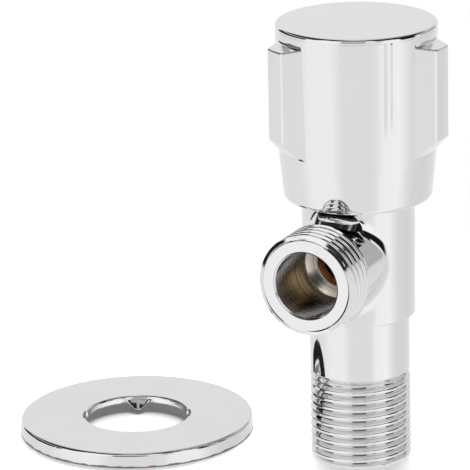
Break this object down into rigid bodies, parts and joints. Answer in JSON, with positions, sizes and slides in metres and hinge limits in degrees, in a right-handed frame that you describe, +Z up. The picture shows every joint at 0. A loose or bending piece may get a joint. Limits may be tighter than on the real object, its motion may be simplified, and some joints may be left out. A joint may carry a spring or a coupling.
{
  "type": "angle stop valve",
  "caption": "Chromed right-angle stop valve: threaded inlet below, threaded side outlet, lobed quarter-turn handle on top and a loose round wall cover ring.",
  "frame": {"origin": "middle of the inlet's end face, on the inlet's axis", "axes": "+Z up along the inlet and the handle's axis, -Y out of the side outlet, +X to the right when looking into the outlet"},
  "size_m": [0.0936, 0.0492, 0.0921],
  "materials": {
    "chromed_brass": "polished",
    "chromed_handle": "polished",
    "chromed_cap": "polished",
    "polished_steel_sheet": "polished",
    "brass": "satin",
    "alumina": "satin",
    "seal_rubber": "matte",
    "white_acetal": "matte",
    "spring_steel": "satin"
  },
  "bodies": {
    "valve": {"valve_body": "chromed_brass", "bonnet": "brass", "bonnet_o_ring": "seal_rubber", "seat_seal": "seal_rubber", "seal_support_ring": "white_acetal", "fixed_ceramic_disc": "alumina"},
    "handle_assembly": {"rotating_ceramic_disc": "alumina", "stem": "brass", "stem_o_ring_lower": "seal_rubber", "stem_o_ring_upper": "seal_rubber", "thrust_washer": "white_acetal", "stop_ring": "brass", "circlip": "spring_steel", "spline_insert": "white_acetal", "handle": "chromed_handle", "screw_lock_washer": "spring_steel", "handle_screw": "spring_steel", "handle_cap": "chromed_cap"},
    "cover_ring": {"escutcheon": "polished_steel_sheet"}
  },
  "joints": [
    {"name": "handle_turn", "type": "hinge", "parent": "valve", "child": "handle_assembly", "pos_m": [0, 0, 0.05], "axis": [0, 0, 1], "range_deg": [0, 90]},
    {"name": "cover_ring_lift", "type": "slide", "parent": "valve", "child": "cover_ring", "axis": [0, 0, 1], "range_m": [0, 0.1]}
  ]
}
